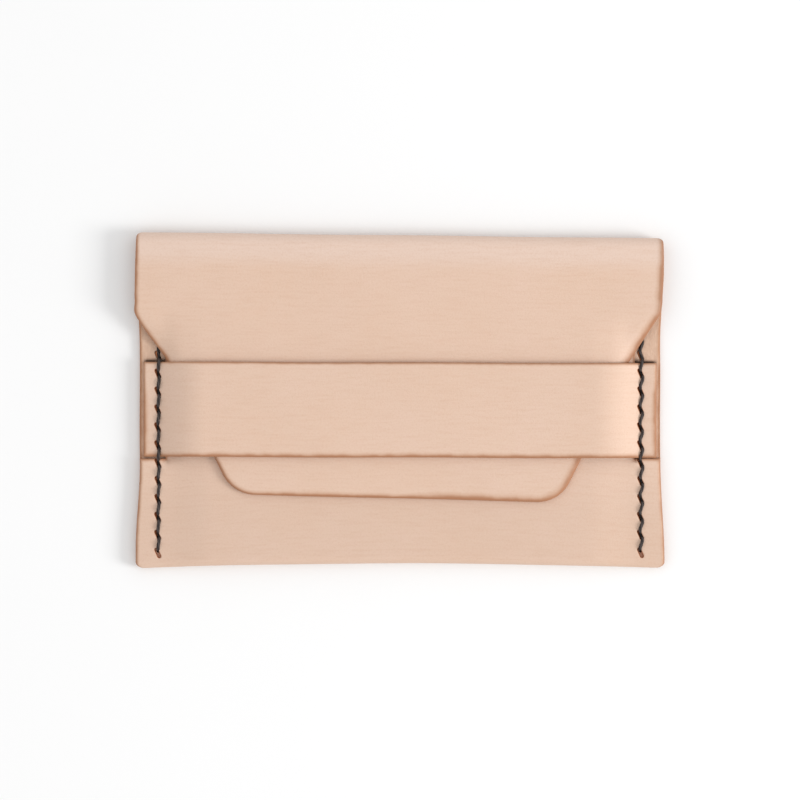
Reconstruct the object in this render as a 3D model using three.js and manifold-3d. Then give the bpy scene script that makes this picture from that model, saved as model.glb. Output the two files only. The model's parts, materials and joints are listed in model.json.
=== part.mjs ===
// A tuck-flap card holder: one leather folded into a pocket and a flap, a strap sewn across the
// front, and a saddle stitch up each side. Millimetres. It lies on its back: +X is its width, +Y
// runs up to the top fold, and +Z comes out of the front. The origin is on the back face.
import * as THREE from 'three';
import { mergeVertices } from 'three/addons/utils/BufferGeometryUtils.js';
import Module from 'manifold-3d';

const wasm = await Module();
wasm.setup();

// Leather
const LEATHER = 1.1;              // thickness
const LAYER_GAP = 0.05;           // air between two leathers sewn together
const SLIP_GAP = 0.14;            // air between the flap and what it slides on
const CARD_ROOM = 0.8;            // room for a card between the back and the front
const PRESSED_FROM = 46;          // half width at which the seams hold the layers flat
const OPENING_RUN = 10;           // how far in from there the pocket stands fully open

// Body
const WAIST = 50.1;               // half width between the folds
const FLARE = 0.8;                // how much wider each side is at the folds
const FLARE_LOWER = -12;          // where the sides start to widen, towards the bottom fold
const FLARE_UPPER = 10;           // and towards the top fold
const FLARE_RUN = 18;
const TOP = 31.7;                 // outermost point of the top fold, at the middle
const BOTTOM = -31.45;            // outermost point of the bottom fold, at the middle
const BOTTOM_BOW = 0.8;           // how much lower the bottom fold reaches at the seams
const BOTTOM_DEPTH = 1.6;         // depth of the round of the bottom fold
const NECK_HALF = 45.2;           // half width of the front panel's neck
const NECK_TOP = 12;              // where the neck ends, behind the flap
const NECK_PARED = 0.55;          // share of the leather pared off the neck's side edges
const PARED_FROM = 41;            // half width at which that paring starts
const PARED_STEP = 0.8;           // width of the step from the paring up to the seam margin
const PARING_LOW = -12.4;         // where the paring starts, just below the strap
const PARING_RUN = 1;

// Strap
const STRAP_UPPER = 7.35;
const STRAP_LOWER = -11.05;
const STRAP_UPPER_SLOPE = -0.006;
const STRAP_LOWER_SLOPE = -0.003;
const STRAP_HALF = 49.35;         // half length
const STRAP_FOOT = 45.9;          // where the strap leaves the back panel
const STRAP_RUN = 7.4;            // length of its climb over the flap
const STRAP_CLIMB = 3.25;         // height of its climb
const STRAP_ROUND = 2.6;          // exponent of the climb, steep at the foot

// Flap and top fold
const FLAP_TURN = THREE.MathUtils.degToRad(-0.67);
const FLAP_HALF = 50.9;           // half width at the fold
const FLAP_BOTTOM = 3.15;         // height of the flap's flesh side over the back face
const FOLD_RADIUS = (FLAP_BOTTOM + LEATHER) / 2;
const FOLD_AXIS = TOP - FOLD_RADIUS;
const FOLD_HINGES = 2;            // the fold bends at these, spread evenly round it
const FOLD_STEPS = 8;             // facets of the fold between two hinges
const HINGE_GAP = 0.1;            // air between two parts of the fold, at the outer skin
const PANEL_END = 23.2;           // where the flap panel ends and the tongue begins
const TIP = 50.6;                 // length of the flap
const TIP_RADIUS = 7;
const TONGUE_PARED = 0.5;         // share of the leather pared off the tongue's side edges
const TONGUE_PARED_WIDTH = 3;
const TONGUE_PARED_TO = 41;       // how far down the flap that paring goes
const PRESS_START = 13;           // how far down the flap the strap's pressure starts
const PRESS_RUN = 9;

// Seams
const SEAM_X = 46.45;
const HOLES = 13;
const FIRST_HOLE = 11.95;
const PITCH = 3.45;
const HOLES_ABOVE_STRAP = 2;
const HOLE_RADIUS = 0.5;
const THREAD_RADIUS = 0.38;
const POST_RADIUS = 0.3;
const STITCH_LEAN = 0.2;          // how far each stitch leans to either side of the seam line
const BAR_SIDES = 6;              // sides of the round bars that holes and thread are made of
const BACK_STITCH = 0.36;         // height of the flattened stitches on the back
const GROOVE_DEPTH = 0.45;
const GROOVE_WIDTH = 1.1;

const LEATHER_COLOUR = new THREE.Color(0.83, 0.62, 0.49);
const THREAD_COLOUR = new THREE.Color(0.06, 0.045, 0.04);

// Heights and outlines

function ease(a) {
  return THREE.MathUtils.smoothstep(a, 0, 1);
}

// 0 in the seam margins and 1 over the middle, where the pocket stands open
function openness(x) {
  return ease((PRESSED_FROM - Math.abs(x)) / OPENING_RUN);
}

function bodyHalf(y) {
  return WAIST + FLARE * Math.max(ease((FLARE_LOWER - y) / FLARE_RUN), ease((y - FLARE_UPPER) / FLARE_RUN));
}

function bottomEdge(x) {
  return BOTTOM - BOTTOM_BOW * (x / SEAM_X) ** 2;
}

function frontInner(x) {
  return LEATHER + LAYER_GAP + CARD_ROOM * openness(x);
}

// The neck's side edges are pared thin where the strap crosses them
function neckPared(x) {
  return NECK_PARED * ease((Math.abs(x) - PARED_FROM) / (NECK_HALF - PARED_FROM));
}

function frontThickness(x, y) {
  const margin = ease((Math.abs(x) - NECK_HALF) / PARED_STEP);
  return LEATHER * (1 - neckPared(x) * (1 - margin) * ease((y - PARING_LOW) / PARING_RUN));
}

function strapInner(x) {
  const climb = THREE.MathUtils.clamp((STRAP_FOOT - Math.abs(x)) / STRAP_RUN, 0, 1);
  return LEATHER + LAYER_GAP + STRAP_CLIMB * (1 - (1 - climb) ** STRAP_ROUND);
}

function strapUpper(x) {
  return STRAP_UPPER + STRAP_UPPER_SLOPE * x;
}

function strapLower(x) {
  return STRAP_LOWER + STRAP_LOWER_SLOPE * x;
}

// The flap's right-hand outline from the fold to the tip, as points (half width, distance down)
function flapOutline() {
  const tipStart = new THREE.Vector2(33.1, 46.7);
  const tipCentre = new THREE.Vector2(26.82, TIP - TIP_RADIUS);
  const outline = new THREE.Path();
  outline.moveTo(FLAP_HALF, 0);
  outline.lineTo(FLAP_HALF, 12);
  outline.quadraticCurveTo(FLAP_HALF, 14.2, 49.5, 15.6);
  outline.lineTo(44.3, 24.3);
  outline.lineTo(tipStart.x, tipStart.y);
  outline.absarc(tipCentre.x, tipCentre.y, TIP_RADIUS, 0.464, Math.PI / 2, false);
  return outline.getPoints(6);
}

const OUTLINE = flapOutline();

function flapHalf(down) {
  const next = OUTLINE.findIndex((p, i) => i > 0 && p.y >= down);
  const [a, b] = [OUTLINE[next - 1], OUTLINE[next]];
  return THREE.MathUtils.mapLinear(down, a.y, b.y, a.x, b.x);
}

// The strap presses the lower flap down towards the seams
function flapInner(x, down) {
  const neck = frontInner(x) + LEATHER * (1 - neckPared(x));
  const pressed = Math.min(FLAP_BOTTOM, neck + SLIP_GAP);
  return THREE.MathUtils.lerp(FLAP_BOTTOM, pressed, ease((down - PRESS_START) / PRESS_RUN));
}

function flapThickness(x, down) {
  const edge = 1 - ease((flapHalf(down) - Math.abs(x)) / TONGUE_PARED_WIDTH);
  const underStrap = ease((down - PRESS_START) / PRESS_RUN) * (1 - ease((down - TONGUE_PARED_TO) / 3));
  return LEATHER * (1 - TONGUE_PARED * edge * underStrap);
}

// The flap and the top fold sit turned a little in the plane of the leather
function turned(x, y, z) {
  const point = new THREE.Vector3(x, y - TOP, z).applyAxisAngle(new THREE.Vector3(0, 0, 1), FLAP_TURN);
  point.y += TOP;
  return point;
}

// Building blocks

function range(from, to, steps) {
  return Array.from({ length: steps + 1 }, (_, i) => from + ((to - from) * i) / steps);
}

function mirrored(values) {
  return [...values.map((v) => -v).reverse(), ...values];
}

// A closed sheet of leather. place(a, b, n) gives a point, with a from the list across, b from
// the list along, and n 0 on one skin and 1 on the other.
function sheet(across, along, place) {
  const box = new THREE.BoxGeometry(1, 1, 1, across.length - 1, along.length - 1, 1);
  const position = box.attributes.position;
  for (let i = 0; i < position.count; i++) {
    const a = across[Math.round((position.getX(i) + 0.5) * (across.length - 1))];
    const b = along[Math.round((position.getY(i) + 0.5) * (along.length - 1))];
    const point = place(a, b, position.getZ(i) + 0.5);
    position.setXYZ(i, point.x, point.y, point.z);
  }
  return box;
}

function solid(geometry) {
  const bare = geometry.clone();
  bare.deleteAttribute('normal');
  bare.deleteAttribute('uv');
  const merged = mergeVertices(bare, 1e-5);
  return new wasm.Manifold(new wasm.Mesh({
    numProp: 3,
    vertProperties: new Float32Array(merged.attributes.position.array),
    triVerts: new Uint32Array(merged.index.array),
  }));
}

function geometryOf(manifold) {
  const mesh = manifold.getMesh();
  const geometry = new THREE.BufferGeometry();
  geometry.setAttribute('position', new THREE.BufferAttribute(new Float32Array(mesh.vertProperties), 3));
  geometry.setIndex(new THREE.BufferAttribute(new Uint32Array(mesh.triVerts), 1));
  geometry.computeVertexNormals();
  return geometry;
}

function cut(geometry, cutters) {
  return geometryOf(cutters.reduce((rest, cutter) => rest.subtract(cutter), solid(geometry)));
}

function boxAt(x, y, z, width, length, height) {
  return solid(new THREE.BoxGeometry(width, length, height).translate(x, y, z));
}

// A round bar from one point to another
function bar(from, to, radius) {
  const way = new THREE.Vector3().subVectors(to, from);
  const geometry = new THREE.CylinderGeometry(radius, radius, way.length(), BAR_SIDES);
  const turn = new THREE.Quaternion().setFromUnitVectors(new THREE.Vector3(0, 1, 0), way.clone().normalize());
  geometry.applyQuaternion(turn);
  geometry.translate(...from.clone().add(to).multiplyScalar(0.5).toArray());
  return solid(geometry);
}

// Holes and seams

const holeY = Array.from({ length: HOLES }, (_, i) => FIRST_HOLE - PITCH * i);

function seamCutters() {
  const cutters = [];
  for (const side of [-1, 1]) {
    for (const y of holeY) {
      const low = new THREE.Vector3(side * SEAM_X, y, -1);
      cutters.push(bar(low, low.clone().setZ(4), HOLE_RADIUS));
    }
  }
  return cutters;
}

function grooveCutters() {
  const length = PITCH * (HOLES - 1) + 2 * HOLE_RADIUS;
  const middle = (holeY[0] + holeY[HOLES - 1]) / 2;
  const height = 2 * GROOVE_DEPTH;
  return [-1, 1].map((side) => boxAt(side * SEAM_X, middle, 0, GROOVE_WIDTH, length, height));
}

const holes = seamCutters();
const grooves = grooveCutters();

// One seam's thread: stitches on the front, a post in each hole, and stitches on the back
function thread(side) {
  const x = side * SEAM_X;
  const onSeam = 2 * LEATHER + LAYER_GAP + THREAD_RADIUS + LAYER_GAP;
  const onBack = LEATHER + THREAD_RADIUS + LAYER_GAP;
  const bars = [];
  for (let i = 0; i < HOLES; i++) {
    const top = i < HOLES_ABOVE_STRAP ? onBack : onSeam;
    bars.push(bar(new THREE.Vector3(x, holeY[i], 0.1), new THREE.Vector3(x, holeY[i], top), POST_RADIUS));
  }
  const lastAbove = new THREE.Vector3(x, holeY[HOLES_ABOVE_STRAP - 1], onBack);
  const step = new THREE.Vector3(x, strapUpper(x) + 0.55, onSeam + 0.05);
  bars.push(bar(new THREE.Vector3(x, holeY[0], onBack), lastAbove, THREAD_RADIUS));
  bars.push(bar(lastAbove, step, THREAD_RADIUS));
  bars.push(bar(step, new THREE.Vector3(x, holeY[HOLES_ABOVE_STRAP] - 0.2, onSeam), THREAD_RADIUS));
  for (let i = HOLES_ABOVE_STRAP; i < HOLES - 1; i++) {
    const from = new THREE.Vector3(x + STITCH_LEAN, holeY[i], onSeam);
    bars.push(bar(from, new THREE.Vector3(x - STITCH_LEAN, holeY[i + 1], onSeam), THREAD_RADIUS));
  }
  const backLength = PITCH * (HOLES - 1) + 2 * POST_RADIUS;
  const middle = (holeY[0] + holeY[HOLES - 1]) / 2;
  bars.push(boxAt(x, middle, 0.04 + BACK_STITCH / 2, 2 * THREAD_RADIUS, backLength, BACK_STITCH));
  return geometryOf(bars.reduce((joined, next) => joined.add(next)));
}

// Body leather

const ACROSS = mirrored([0.1, 0.4, 0.7, 0.74, 0.78, 0.82, 0.86, 0.9, 1]);

// Angles round the top fold are counted from the back, and half a stretch lies before its first hinge
const STRETCH = Math.PI / FOLD_HINGES;
const HALF_GAP = HINGE_GAP / 2 / FOLD_RADIUS;

// A point of the top fold: skin 0 is the outer one and 1 the inner one
function onTopFold(x, angle, skin) {
  const radius = FOLD_RADIUS - LEATHER * skin;
  return turned(x, FOLD_AXIS + radius * Math.sin(angle), FOLD_RADIUS - radius * Math.cos(angle));
}

// Flat up to t 1, and then round the start of the top fold up to t 2
function backPanel() {
  const rows = [...range(0, 1, 12), ...range(1, 2, FOLD_STEPS / 2).slice(1)];
  return cut(sheet(ACROSS, rows, (s, t, n) => {
    const x = s * bodyHalf(THREE.MathUtils.lerp(BOTTOM, FOLD_AXIS, Math.min(t, 1)));
    if (t > 1) return onTopFold(x, (t - 1) * (STRETCH / 2 - HALF_GAP), n);
    const low = bottomEdge(s * WAIST) + BOTTOM_DEPTH;
    const high = onTopFold(x, 0, n);
    const y = THREE.MathUtils.lerp(low, high.y, t);
    return new THREE.Vector3(THREE.MathUtils.lerp(x, high.x, t), y, n * LEATHER);
  }), [...holes, ...grooves]);
}

function bottomFold() {
  return cut(sheet(ACROSS, range(-Math.PI / 2, Math.PI / 2, 12), (s, angle, n) => {
    const low = bottomEdge(s * WAIST) + BOTTOM_DEPTH;
    const x = s * bodyHalf(low);
    const half = (frontInner(x) + LEATHER) / 2;
    const depth = BOTTOM_DEPTH - LEATHER * (1 - n);
    const height = half - LEATHER * (1 - n);
    return new THREE.Vector3(x, low - depth * Math.cos(angle), half + height * Math.sin(angle));
  }), [...holes, ...grooves]);
}

function frontPanel() {
  const rows = [...range(0, 1, 7), ...range(1, 2, 2).slice(1), ...range(2, 3, 4).slice(1)];
  const rowY = (low, t) => {
    if (t <= 1) return THREE.MathUtils.lerp(low, PARING_LOW, t);
    if (t <= 2) return PARING_LOW + PARING_RUN * (t - 1);
    return THREE.MathUtils.lerp(PARING_LOW + PARING_RUN, NECK_TOP, t - 2);
  };
  const across = mirrored([0.1, 0.4, 0.7, 0.74, 0.78, 0.82, 0.86, 0.88, 0.902, 0.918, 1]);
  const panel = sheet(across, rows, (s, t, n) => {
    const low = bottomEdge(s * WAIST) + BOTTOM_DEPTH;
    const y = rowY(low, t);
    const x = s * bodyHalf(y);
    return new THREE.Vector3(x, y, frontInner(x) + n * frontThickness(x, y));
  });
  const margin = 12;
  const shoulder = STRAP_LOWER - 0.35;
  const length = NECK_TOP + 1 - shoulder;
  const corners = [-1, 1].map((side) =>
    boxAt(side * (NECK_HALF + margin / 2), shoulder + length / 2, 3, margin, length, 6));
  return cut(panel, [...corners, ...holes]);
}

// The stretch of the top fold between its two hinges
function topFold() {
  const from = 1.5 * STRETCH - HALF_GAP;
  const to = 0.5 * STRETCH + HALF_GAP;
  return sheet([-FLAP_HALF, 0, FLAP_HALF], range(from, to, FOLD_STEPS), (x, angle, n) =>
    onTopFold(x, angle, 1 - n));
}

// Part of the flap between two distances down from the fold's outermost point. Where it starts at
// the fold, it takes the last stretch round it too, as rows with a distance below FOLD_RADIUS.
function flapSheet(start, end) {
  const corners = OUTLINE.map((p) => p.y).filter((d) => d > start + 0.1 && d < end - 0.1);
  const fold = start > FOLD_RADIUS ? [] : range(0, FOLD_RADIUS, FOLD_STEPS / 2).slice(0, -1);
  const rows = [...new Set([...corners, ...range(start, end, 6), ...fold])].sort((a, b) => b - a);
  const across = mirrored([0.1, 0.5, 0.7, 0.78, 0.83, 0.88, 0.92, 0.96, 0.98, 1]);
  return sheet(across, rows, (s, down, n) => {
    const x = s * flapHalf(down);
    if (down >= FOLD_RADIUS) {
      return turned(x, TOP - down, flapInner(x, down) + n * flapThickness(x, down));
    }
    const before = (1 - down / FOLD_RADIUS) * (STRETCH / 2 - HALF_GAP);
    return onTopFold(x, Math.PI - before, 1 - n);
  });
}

function strap() {
  const stations = [4, 24, 38, 39.5, 41, 42.2, 43.2, 44, 44.6, 45.1, 45.5, STRAP_FOOT, STRAP_HALF];
  const band = sheet(mirrored(stations), range(0, 1, 1), (x, t, n) =>
    new THREE.Vector3(x, THREE.MathUtils.lerp(strapLower(x), strapUpper(x), t), strapInner(x) + n * LEATHER));
  return cut(band, holes);
}

// Assembly

const holder = new THREE.Group();

function add(name, geometry, colour, roughness) {
  const material = new THREE.MeshStandardMaterial({ color: colour, roughness, metalness: 0 });
  const mesh = new THREE.Mesh(geometry, material);
  mesh.name = name;
  holder.add(mesh);
}

function addLeather(name, geometry) {
  add(name, geometry, LEATHER_COLOUR.clone(), 0.6);
}

addLeather('back_panel', backPanel());
addLeather('bottom_fold', bottomFold());
addLeather('front_panel', frontPanel());
addLeather('strap', strap());
add('thread_left', thread(-1), THREAD_COLOUR.clone(), 0.5);
add('thread_right', thread(1), THREAD_COLOUR.clone(), 0.5);
addLeather('top_fold', topFold());
addLeather('flap_panel', flapSheet(FOLD_RADIUS, PANEL_END));
addLeather('flap_tongue', flapSheet(PANEL_END, TIP));

export default holder;
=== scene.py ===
"""Looks for a tuck-flap card holder: vegetable-tanned leather, a strap and two saddle-stitched seams.

Lengths are in millimetres until a mesh is made. A leather is drawn flat, in (u, v), and then placed:
u runs across the holder, and v runs along the leather, away from the crown of the top fold.
"""
import json
import math

import bpy
import numpy as np
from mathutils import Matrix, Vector
from mathutils.geometry import delaunay_2d_cdt


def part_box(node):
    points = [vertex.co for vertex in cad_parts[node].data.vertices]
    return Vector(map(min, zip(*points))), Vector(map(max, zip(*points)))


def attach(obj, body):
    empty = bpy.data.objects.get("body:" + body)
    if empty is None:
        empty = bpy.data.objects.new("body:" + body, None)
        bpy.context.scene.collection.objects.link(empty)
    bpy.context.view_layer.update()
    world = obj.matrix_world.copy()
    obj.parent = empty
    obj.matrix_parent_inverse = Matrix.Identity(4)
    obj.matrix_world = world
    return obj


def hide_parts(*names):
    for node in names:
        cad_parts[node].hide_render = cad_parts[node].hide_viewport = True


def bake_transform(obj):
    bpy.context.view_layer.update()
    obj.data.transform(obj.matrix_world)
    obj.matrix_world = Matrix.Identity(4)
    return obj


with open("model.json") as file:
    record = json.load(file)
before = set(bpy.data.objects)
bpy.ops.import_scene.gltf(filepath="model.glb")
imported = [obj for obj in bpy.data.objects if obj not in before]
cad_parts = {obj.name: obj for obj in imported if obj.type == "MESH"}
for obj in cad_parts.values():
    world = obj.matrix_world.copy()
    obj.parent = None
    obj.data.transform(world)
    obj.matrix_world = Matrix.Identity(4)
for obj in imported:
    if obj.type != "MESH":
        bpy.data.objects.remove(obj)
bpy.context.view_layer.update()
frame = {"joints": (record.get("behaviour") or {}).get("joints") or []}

MM = 0.001


# Sizes that come from the frame

def cad_box(node):
    low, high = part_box(node)
    return np.array(low) / MM, np.array(high) / MM


pins = {joint["name"]: joint for joint in frame["joints"]}
LOW_PIN, HIGH_PIN = (np.array(pins[name]["pos_m"]) / MM for name in ("fold_bend", "flap_fold"))
PIN_AXIS = pins["flap_fold"]["axis"]
STRAP_LOW, STRAP_HIGH = cad_box("strap")
FOLD_LOW, FOLD_HIGH = cad_box("top_fold")
TONGUE_LOW, _ = cad_box("flap_tongue")
BEND_LOW, _ = cad_box("bottom_fold")
THREAD_LOW, THREAD_HIGH = cad_box("thread_right")

LEATHER = 1.1
SEAM_X = (THREAD_LOW[0] + THREAD_HIGH[0]) / 2
LAYER_TWO = STRAP_LOW[2]                      # underside of the second layer in the seams
SEAM_TOP = LAYER_TWO + LEATHER
TURN = math.atan2(-PIN_AXIS[1], -PIN_AXIS[0])  # the flap sits turned a little in its own plane
FOLD_RADIUS = (LOW_PIN[2] + HIGH_PIN[2]) / 2
TOP = LOW_PIN[1] + FOLD_RADIUS * (1 - math.sqrt(0.5)) * math.cos(TURN)
FOLD_AXIS = TOP - FOLD_RADIUS
FOLD_ARC = FOLD_RADIUS * math.pi / 2          # outer skin from the crown to either flat side
FLAP_HALF = (FOLD_HIGH[0] - FOLD_LOW[0]) / 2
FLAP_BOTTOM = 2 * FOLD_RADIUS - LEATHER
FLAP_LENGTH = TOP - TONGUE_LOW[1]
BEND_CLEAR = 0.15                             # more than settled() moves a point

# A name that ends in RUN is the distance over which something eases in or out

# Body
FLARE = 0.8
WAIST = FLAP_HALF - FLARE
FLARE_LOWER = -12
FLARE_UPPER = 10
FLARE_RUN = 18
CARD_ROOM = 0.8
PRESSED_FROM = 46
OPENING_RUN = 10
BOTTOM_BOW = 0.8
BOTTOM = BEND_LOW[1] + BOTTOM_BOW * (WAIST / SEAM_X) ** 2
BOTTOM_DEPTH = 1.6
BEND_LENGTH = 4.9                             # outer skin round the bottom fold
BOTTOM_CORNER = 0.9
TOP_CORNER = 0.5
TOP_TAPER = 0.25                              # the leather is a little narrower over the top fold
TOP_TAPER_RUN = 9
NECK_HALF = 45.2
NECK_TOP = 12
NECK_PARED = 0.55
PARED_FROM = 41
PARED_STEP = 0.8
PARING_LOW = -12.4
PARING_RUN = 1
SHOULDER_GAP = 0.1

# Strap
STRAP_HALF = STRAP_HIGH[0]
STRAP_UPPER = 7.52
STRAP_LOWER = -11.05
STRAP_UPPER_SLOPE = -0.003
STRAP_UPPER_BOW = 0.3                         # how far it has dropped at the strap's ends
STRAP_LOWER_SLOPE = -0.003
STRAP_FOOT = 45.9
STRAP_RUN = 7.4
STRAP_CLIMB = STRAP_HIGH[2] - LEATHER - LAYER_TWO
STRAP_ROUND = 2.6
STRAP_DOME = 0.25
STRAP_SKIN_FOOT = 46.2                        # the strap's outer skin bends more gently than its inner one
STRAP_SKIN_RUN = 9
STRAP_SKIN_ROUND = 2.2

# Flap
SIDE_END = 11.9                               # distances down from the fold's outermost point
CORNER_START = 12
CORNER_CONTROL = 14.5
CORNER_END = (49.8, 15.9)
TAPER_END = (44.3, 24.3)                      # the flap's edge as it goes under the strap
TIP_CENTRE = 26.82
TIP_FIRST_ANGLE = 0.464
TIP_RADIUS = 7
SLIP_GAP = 0.14
PRESS_START = 13
PRESS_RUN = 9
TONGUE_PARED = 0.5
TONGUE_PARED_WIDTH = 3
TONGUE_PARED_TO = 41
TONGUE_PARED_RUN = 3

# A hand-cut flap: wider on its left, narrower on its right, and its tip a little short and on a slant
RIGHT_NARROWER = 0.3
RIGHT_FROM = 30
RIGHT_RUN = 20
LEFT_WIDER = 0.95
LEFT_WIDER_RUN = 3.5
LEFT_WIDER_TONGUE = 0.55
TONGUE_FROM = 18
TONGUE_RUN = 6
LEFT_FROM = 5
LEFT_RUN = 25
TIP_SHORT = 0.3
TIP_SLANT = -0.0133
TIP_FROM = 20
TIP_RUN = 20

# Tone
FLAP_BAND = 1.3                               # how much wider a darkened edge is than the pocket's
STRAP_BAND = 1.35
STRAP_BAND_UPPER = 0.85
RIGHT_BAND = 0.5                              # what the fold's and the flap's right side add to that
RIGHT_BAND_RUN = 10
POCKET_BURNISH = 0.88
STRAP_BURNISH_UPPER = 0.8
STRAP_UPPER_RUN = 4                           # the strap's band and burnish change over this, from y = 0
# painted shade on the right-hand cut edge, darkening what the lamp on that side lights
PAINTED_EDGE_SHADE = 0.13
PAINTED_EDGE_WIDTH = 0.75
PAINTED_EDGE_FADE = 0.25
PAINTED_EDGE_FROM = 46
PAINTED_EDGE_RUN = 3
PAINTED_EDGE_END_RUN = 4
SHEEN_TO = 4.5                                 # painted sheen: the grain lighter over the top fold, which faces up into the light
SHEEN_RUN = 4
FRONT_PAINTED_SHADE = 0.055                            # painted shade: the front darker towards the bottom, where less light falls
FRONT_PAINTED_SHADE_RUN = 12
STEP_HEIGHT = 0.02                            # painted shadow, with a small dip, in the step beside the strap's upper edge
STEP_SIGMA = 0.33
STEP_FROM = 43.5
STEP_END_RUN = 0.3
STEP_DROP = 0.4

# Seams
HOLES = 13
HOLES_ABOVE_STRAP = 2
HOLES_IN_STRAP = 5
FIRST_HOLE = 11.95
PITCH = 3.45
SLIT_HALF = (0.4, -0.92)                      # from a slit's middle to its lower end
SLIT_WIDTH = 0.34                             # half width of a slit, pushed open by the thread
SLIT_SHIFT = -0.17                            # the thread lies against a slit's right-hand wall
SLIT_WALL = 0.12
SLIT_MARK = 0.12                              # how far the raw colour reaches beyond a slit
SLIT_DEPTH = 0.85
OPEN_SLIT_HIGHLIGHT = 0.75                              # painted highlight: how pale the leather is inside the last, open slit, whose wall the light falls on
OPEN_SLIT_HIGHLIGHT_RUN = 0.2
FLESH_SLIT_RAW = 0.4                          # painted shade: the slits above the strap are dark rather than raw
FLESH_SLIT_SHADE = 0.7
SLIT_PULL = 0.05                              # how far the thread pulls the leather round it down
SLIT_PULL_REACH = 0.5
STITCH_LEAN = {-1: 0.09, 1: 0.24}             # how far each seam's thread swings to either side
STITCH_SUNK = 0.5
STITCH_SUNK_ABOVE = 0.12                      # above the strap there is one leather less to pull into
STITCH_RAISED = 0.26
STITCH_ENTRY = 0.04                           # above the leather as it goes into a slit
BACK_ENTRY, BACK_SUNK, BACK_RAISED = 0.28, 0.55, 0.22
THREAD_RADIUS = 0.33
FRONT_FLATNESS = 0.92                         # a thread's height over its width
BACK_FLATNESS = 0.55
LAST_STITCH_END = 0.3                         # the last stitch goes in at the top of its slit
GROOVE_DEPTH = 0.42
GROOVE_HALF = 0.5
GROOVE_WALL = 0.3
GROOVE_PAST = 1.2                             # how far the channel runs past the end slits
GROOVE_END_RUN = 0.6
HOLE_Y = [FIRST_HOLE - PITCH * i for i in range(HOLES)]

# Rounded edges, as (width, depth): the grain side's and the flesh side's
POCKET_RIM = (0.62, 0.5)
POCKET_INNER_RIM = (0.5, 0.35)
SEWN_DEPTH = 0.66                             # the pocket's outer depth where it is sewn
SEWN_INNER_RIM = (0.2, 0.05)
SEWN_RUN = 0.8
FLAP_RIM = (0.8, 0.62)
FLAP_INNER_RIM = (0.3, 0.25)
FLAP_RIM_RUN = 4
STRAP_RIM = (0.45, 0.5)
STRAP_INNER_RIM = (0.25, 0.2)
BUTT_RIM = (0.25, 0.2)                        # where the strap and the front panel meet edge to edge
BUTT_ON_FRONT = 1.2                           # how far from the strap's lower edge that starts
BUTT_ON_STRAP = 1.5
BUTT_RUN = 0.8
MARGIN_REACH = 0.8                            # the strap's sewn margin reaches this far past its foot
MARGIN_RUN = 0.6

# Mesh density
OUTLINE_STEP = 0.4
FOLD_STEP = 0.12
BEND_STEP = 0.2
STRAP_EDGE_STEP = 0.13
SEAM_STEP = 0.45
STRAP_END_STEP = 0.35
STRAP_STEP = 0.6
STEP_BAND = 0.95                              # how far the finer lines reach from the strap's upper edge
NEAR_SEAM = 43                                # the pocket's mesh is finer beyond this
STRAP_MIDDLE = 37                             # and so is the strap's beyond this
FAR_AWAY = 9                                  # more than any mark reaches
RIM_RINGS = (0.03, 0.1, 0.2, 0.33, 0.48, 0.66, 0.9)
SLIT_RINGS = (0.12, 0.22, 0.27, 0.33, 0.39, 0.5, 0.68, 0.9)
LATTICE = 0.9
CLEAR_OF_RIM = 1.1
CLEAR_OF_CUT = 0.07
CLEAR_OF_SLIT = 1.0


# Heights and outlines

def ease(a):
    a = np.clip(a, 0, 1)
    return a * a * (3 - 2 * a)


def mix(a, b, share):
    return a + (b - a) * share


def body_half(y):
    below, above = ease((FLARE_LOWER - y) / FLARE_RUN), ease((y - FLARE_UPPER) / FLARE_RUN)
    return WAIST + FLARE * np.maximum(below, above)


def bend_y(x):
    """Where the flat leather ends and the bottom fold starts."""
    return BOTTOM - BOTTOM_BOW * (x / SEAM_X) ** 2 + BOTTOM_DEPTH


def front_inner(x):
    return LAYER_TWO + CARD_ROOM * ease((PRESSED_FROM - np.abs(x)) / OPENING_RUN)


def neck_pared(x):
    return NECK_PARED * ease((np.abs(x) - PARED_FROM) / (NECK_HALF - PARED_FROM))


def front_thickness(x, y):
    margin = ease((np.abs(x) - NECK_HALF) / PARED_STEP)
    return LEATHER * (1 - neck_pared(x) * (1 - margin) * ease((y - PARING_LOW) / PARING_RUN))


def strap_climb(x, foot, run, exponent):
    return STRAP_CLIMB * (1 - (1 - np.clip((foot - np.abs(x)) / run, 0, 1)) ** exponent)


def strap_inner(x):
    return LAYER_TWO + strap_climb(x, STRAP_FOOT, STRAP_RUN, STRAP_ROUND)


def strap_outer(x):
    return SEAM_TOP + strap_climb(x, STRAP_SKIN_FOOT, STRAP_SKIN_RUN, STRAP_SKIN_ROUND)


def strap_upper(x):
    return STRAP_UPPER + STRAP_UPPER_SLOPE * x - STRAP_UPPER_BOW * (x / STRAP_HALF) ** 2


def strap_lower(x):
    return STRAP_LOWER + STRAP_LOWER_SLOPE * x


def arc_points(centre, radius, start, end, steps):
    angles = np.linspace(start, end, steps + 1)
    return [(centre[0] + radius * math.cos(a), centre[1] + radius * math.sin(a)) for a in angles]


def curve_points(a, control, b, steps):
    shares = np.linspace(0, 1, steps + 1)
    return [tuple((1 - t) ** 2 * np.array(a) + 2 * t * (1 - t) * np.array(control) + t * t * np.array(b))
            for t in shares]


def flap_outline():
    """The flap's right-hand outline, as (half width, distance down from the fold's outermost point)."""
    shoulder = curve_points((FLAP_HALF, CORNER_START), (FLAP_HALF, CORNER_CONTROL), CORNER_END, 8)
    tip = arc_points((TIP_CENTRE, FLAP_LENGTH - TIP_RADIUS), TIP_RADIUS, TIP_FIRST_ANGLE, math.pi / 2, 16)
    return [(FLAP_HALF, 0), *shoulder, TAPER_END, *tip]


FLAP_OUTLINE = np.array(flap_outline())


def flap_half(down):
    return np.interp(down, FLAP_OUTLINE[:, 1], FLAP_OUTLINE[:, 0])


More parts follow.
